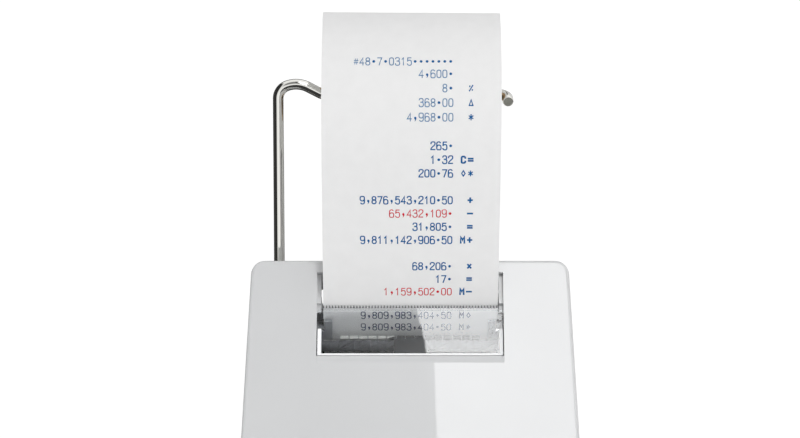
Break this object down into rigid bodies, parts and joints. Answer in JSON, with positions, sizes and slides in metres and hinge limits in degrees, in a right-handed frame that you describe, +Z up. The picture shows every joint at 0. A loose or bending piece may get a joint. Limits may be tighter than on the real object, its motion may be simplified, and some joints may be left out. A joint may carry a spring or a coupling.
{
  "type": "printing calculator",
  "caption": "Compact printing desk calculator: wedge-shaped case with keypad and display, wheel printer under a clear cutter cover, printed tape, and a paper roll on a wire arm behind it.",
  "frame": {"origin": "on the desk surface, under the middle of the whole object's box, from the case's front edge to the free end of the tape", "axes": "+X to the user's right, +Y to the rear where the paper roll hangs, +Z up; the longest extent is along Y"},
  "size_m": [0.12, 0.296, 0.1051],
  "materials": {
    "case_white": "glossy moulded plastic",
    "case_grey": "fine satin moulded plastic",
    "clear": "clear moulded acrylic",
    "lens": "smoked clear acrylic",
    "lcd": "grey-green liquid crystal glass",
    "silicone": "translucent silicone",
    "board": "green solder mask",
    "battery": "printed sleeve",
    "spring_steel": "plated spring steel",
    "black_plastic": "satin black plastic",
    "foot_rubber": "matt rubber",
    "screw_steel": "zinc plated",
    "printer_grey": "dark grey glass-filled plastic",
    "ivory_plastic": "ivory acetal",
    "platen_rubber": "ground rubber",
    "shaft_steel": "ground steel",
    "ink_felt": "inked foam",
    "type_rubber": "moulded rubber type",
    "brass": "turned brass",
    "motor_steel": "drawn steel can",
    "chrome_wire": "chrome plated wire",
    "core_board": "spiral paperboard",
    "paper": "uncoated paper",
    "key_light": "fine satin plastic",
    "key_grey": "fine satin plastic",
    "knob_grey": "satin plastic"
  },
  "bodies": {
    "case": {"top_case": "case_white", "bottom_case": "case_grey", "display_lens": "lens", "lcd_panel": "lcd", "keypad_membrane": "silicone", "main_board": "board", "batteries": "battery", "battery_contacts": "spring_steel", "dc_jack": "black_plastic", "rubber_feet": "foot_rubber", "case_screws": "screw_steel", "printer_frame": "printer_grey", "paper_guide": "ivory_plastic", "guide_shaft": "shaft_steel", "printer_motor": "motor_steel", "arm_bracket": "case_white", "paper_web": "paper", "paper_tape": "paper"},
    "paper_arm": {"paper_arm": "chrome_wire"},
    "paper_roll": {"roll_core": "core_board", "paper_roll": "paper"},
    "platen": {"platen_roller": "platen_rubber", "platen_gear": "ivory_plastic"},
    "pinch_roller": {"pinch_roller": "platen_rubber"},
    "feed_idler": {"feed_idler_gear": "ivory_plastic"},
    "type_shaft": {"type_shaft": "shaft_steel", "type_gear": "ivory_plastic"},
    "motor_pinion": {"motor_pinion": "brass"},
    "carriage": {"print_carriage": "printer_grey"},
    "carriage_screw": {"carriage_screw": "printer_grey"},
    "type_wheel": {"type_wheel": "type_rubber"},
    "ink_roller": {"ink_roller": "ink_felt"},
    "printer_cover": {"printer_cover": "clear"},
    "battery_door": {"battery_door": "case_grey"},
    "slide_knob_left": {"slide_knob_left": "knob_grey"},
    "slide_knob_right": {"slide_knob_right": "knob_grey"},
    "key_clear": {"key_clear": "key_grey"},
    "key_0": {"key_0": "key_light"},
    "key_00": {"key_00": "key_light"},
    "key_point": {"key_point": "key_light"},
    "key_plus": {"key_plus": "key_grey"},
    "key_clear_entry": {"key_clear_entry": "key_grey"},
    "key_1": {"key_1": "key_light"},
    "key_2": {"key_2": "key_light"},
    "key_3": {"key_3": "key_light"},
    "key_memory_plus": {"key_memory_plus": "key_grey"},
    "key_4": {"key_4": "key_light"},
    "key_5": {"key_5": "key_light"},
    "key_6": {"key_6": "key_light"},
    "key_minus": {"key_minus": "key_grey"},
    "key_memory_total": {"key_memory_total": "key_grey"},
    "key_7": {"key_7": "key_light"},
    "key_8": {"key_8": "key_light"},
    "key_9": {"key_9": "key_light"},
    "key_multiply": {"key_multiply": "key_grey"},
    "key_feed": {"key_feed": "key_grey"},
    "key_backspace": {"key_backspace": "key_grey"},
    "key_sign": {"key_sign": "key_grey"},
    "key_percent": {"key_percent": "key_grey"},
    "key_divide": {"key_divide": "key_grey"}
  },
  "joints": [
    {"name": "paper_arm_fold", "type": "hinge", "parent": "case", "child": "paper_arm", "pos_m": [0, 0.0795, 0.0309], "axis": [1, 0, 0], "range_deg": [-30, 0], "deforming": ["paper_web"]},
    {"name": "paper_roll_spin", "type": "hinge", "parent": "paper_arm", "child": "paper_roll", "pos_m": [0, 0.12796, 0.06486], "axis": [1, 0, 0], "continuous": true},
    {"name": "platen_spin", "type": "hinge", "parent": "case", "child": "platen", "pos_m": [0, 0.0575, 0.025], "axis": [1, 0, 0], "continuous": true},
    {"name": "pinch_spin", "type": "hinge", "parent": "case", "child": "pinch_roller", "pos_m": [0, 0.05225, 0.01591], "axis": [1, 0, 0], "continuous": true},
    {"name": "feed_idler_spin", "type": "hinge", "parent": "case", "child": "feed_idler", "pos_m": [0, 0.06397, 0.0161], "axis": [1, 0, 0], "continuous": true},
    {"name": "type_shaft_spin", "type": "hinge", "parent": "case", "child": "type_shaft", "pos_m": [0, 0.0455, 0.025], "axis": [1, 0, 0], "continuous": true},
    {"name": "motor_spin", "type": "hinge", "parent": "case", "child": "motor_pinion", "pos_m": [0, 0.055, 0.01766], "axis": [1, 0, 0], "continuous": true},
    {"name": "carriage_slide", "type": "slide", "parent": "case", "child": "carriage", "axis": [1, 0, 0], "range_m": [-0.022, 0.022]},
    {"name": "carriage_screw_spin", "type": "hinge", "parent": "case", "child": "carriage_screw", "pos_m": [0, 0.0498, 0.0355], "axis": [1, 0, 0], "range_deg": [-600, 600]},
    {"name": "type_wheel_spin", "type": "hinge", "parent": "carriage", "child": "type_wheel", "pos_m": [0, 0.0455, 0.025], "axis": [1, 0, 0], "continuous": true},
    {"name": "ink_roller_spin", "type": "hinge", "parent": "carriage", "child": "ink_roller", "pos_m": [0, 0.04297, 0.03327], "axis": [1, 0, 0], "continuous": true},
    {"name": "printer_cover_lift", "type": "slide", "parent": "case", "child": "printer_cover", "axis": [0, -0.2079, 0.9781], "range_m": [0, 0.015]},
    {"name": "battery_door_hinge", "type": "hinge", "parent": "case", "child": "battery_door", "pos_m": [0, -0.0256, 0.0025], "axis": [-1, 0, 0], "range_deg": [0, 75]},
    {"name": "slide_switch_left", "type": "slide", "parent": "case", "child": "slide_knob_left", "axis": [1, 0, 0], "range_m": [-0.003, 0.003]},
    {"name": "slide_switch_right", "type": "slide", "parent": "case", "child": "slide_knob_right", "axis": [1, 0, 0], "range_m": [-0.003, 0.003]},
    {"name": "key_clear_press", "type": "slide", "parent": "case", "child": "key_clear", "axis": [0, 0.1045, -0.9945], "range_m": [0, 0.0018], "stiffness_N_per_m": 200, "springref_m": -0.001},
    {"name": "key_0_press", "type": "slide", "parent": "case", "child": "key_0", "axis": [0, 0.1045, -0.9945], "range_m": [0, 0.0018], "stiffness_N_per_m": 200, "springref_m": -0.001},
    {"name": "key_00_press", "type": "slide", "parent": "case", "child": "key_00", "axis": [0, 0.1045, -0.9945], "range_m": [0, 0.0018], "stiffness_N_per_m": 200, "springref_m": -0.001},
    {"name": "key_point_press", "type": "slide", "parent": "case", "child": "key_point", "axis": [0, 0.1045, -0.9945], "range_m": [0, 0.0018], "stiffness_N_per_m": 200, "springref_m": -0.001},
    {"name": "key_plus_press", "type": "slide", "parent": "case", "child": "key_plus", "axis": [0, 0.1045, -0.9945], "range_m": [0, 0.0018], "stiffness_N_per_m": 200, "springref_m": -0.001},
    {"name": "key_clear_entry_press", "type": "slide", "parent": "case", "child": "key_clear_entry", "axis": [0, 0.1045, -0.9945], "range_m": [0, 0.0018], "stiffness_N_per_m": 200, "springref_m": -0.001},
    {"name": "key_1_press", "type": "slide", "parent": "case", "child": "key_1", "axis": [0, 0.1045, -0.9945], "range_m": [0, 0.0018], "stiffness_N_per_m": 200, "springref_m": -0.001},
    {"name": "key_2_press", "type": "slide", "parent": "case", "child": "key_2", "axis": [0, 0.1045, -0.9945], "range_m": [0, 0.0018], "stiffness_N_per_m": 200, "springref_m": -0.001},
    {"name": "key_3_press", "type": "slide", "parent": "case", "child": "key_3", "axis": [0, 0.1045, -0.9945], "range_m": [0, 0.0018], "stiffness_N_per_m": 200, "springref_m": -0.001},
    {"name": "key_memory_plus_press", "type": "slide", "parent": "case", "child": "key_memory_plus", "axis": [0, 0.1045, -0.9945], "range_m": [0, 0.0018], "stiffness_N_per_m": 200, "springref_m": -0.001},
    {"name": "key_4_press", "type": "slide", "parent": "case", "child": "key_4", "axis": [0, 0.1045, -0.9945], "range_m": [0, 0.0018], "stiffness_N_per_m": 200, "springref_m": -0.001},
    {"name": "key_5_press", "type": "slide", "parent": "case", "child": "key_5", "axis": [0, 0.1045, -0.9945], "range_m": [0, 0.0018], "stiffness_N_per_m": 200, "springref_m": -0.001},
    {"name": "key_6_press", "type": "slide", "parent": "case", "child": "key_6", "axis": [0, 0.1045, -0.9945], "range_m": [0, 0.0018], "stiffness_N_per_m": 200, "springref_m": -0.001},
    {"name": "key_minus_press", "type": "slide", "parent": "case", "child": "key_minus", "axis": [0, 0.1045, -0.9945], "range_m": [0, 0.0018], "stiffness_N_per_m": 200, "springref_m": -0.001},
    {"name": "key_memory_total_press", "type": "slide", "parent": "case", "child": "key_memory_total", "axis": [0, 0.1045, -0.9945], "range_m": [0, 0.0018], "stiffness_N_per_m": 200, "springref_m": -0.001},
    {"name": "key_7_press", "type": "slide", "parent": "case", "child": "key_7", "axis": [0, 0.1045, -0.9945], "range_m": [0, 0.0018], "stiffness_N_per_m": 200, "springref_m": -0.001},
    {"name": "key_8_press", "type": "slide", "parent": "case", "child": "key_8", "axis": [0, 0.1045, -0.9945], "range_m": [0, 0.0018], "stiffness_N_per_m": 200, "springref_m": -0.001},
    {"name": "key_9_press", "type": "slide", "parent": "case", "child": "key_9", "axis": [0, 0.1045, -0.9945], "range_m": [0, 0.0018], "stiffness_N_per_m": 200, "springref_m": -0.001},
    {"name": "key_multiply_press", "type": "slide", "parent": "case", "child": "key_multiply", "axis": [0, 0.1045, -0.9945], "range_m": [0, 0.0018], "stiffness_N_per_m": 200, "springref_m": -0.001},
    {"name": "key_feed_press", "type": "slide", "parent": "case", "child": "key_feed", "axis": [0, 0.1045, -0.9945], "range_m": [0, 0.0018], "stiffness_N_per_m": 200, "springref_m": -0.001},
    {"name": "key_backspace_press", "type": "slide", "parent": "case", "child": "key_backspace", "axis": [0, 0.1045, -0.9945], "range_m": [0, 0.0018], "stiffness_N_per_m": 200, "springref_m": -0.001},
    {"name": "key_sign_press", "type": "slide", "parent": "case", "child": "key_sign", "axis": [0, 0.1045, -0.9945], "range_m": [0, 0.0018], "stiffness_N_per_m": 200, "springref_m": -0.001},
    {"name": "key_percent_press", "type": "slide", "parent": "case", "child": "key_percent", "axis": [0, 0.1045, -0.9945], "range_m": [0, 0.0018], "stiffness_N_per_m": 200, "springref_m": -0.001},
    {"name": "key_divide_press", "type": "slide", "parent": "case", "child": "key_divide", "axis": [0, 0.1045, -0.9945], "range_m": [0, 0.0018], "stiffness_N_per_m": 200, "springref_m": -0.001}
  ],
  "couplings": [
    {"joint": "platen_spin", "follows": "paper_roll_spin", "ratio": 3.3333},
    {"joint": "pinch_spin", "follows": "paper_roll_spin", "ratio": -5},
    {"joint": "feed_idler_spin", "follows": "paper_roll_spin", "ratio": -4},
    {"joint": "motor_spin", "follows": "type_shaft_spin", "ratio": -3},
    {"joint": "type_wheel_spin", "follows": "type_shaft_spin", "ratio": 1},
    {"joint": "ink_roller_spin", "follows": "type_shaft_spin", "ratio": -1.4286},
    {"joint": "carriage_screw_spin", "follows": "carriage_slide", "rad_per_m": 395.17}
  ]
}
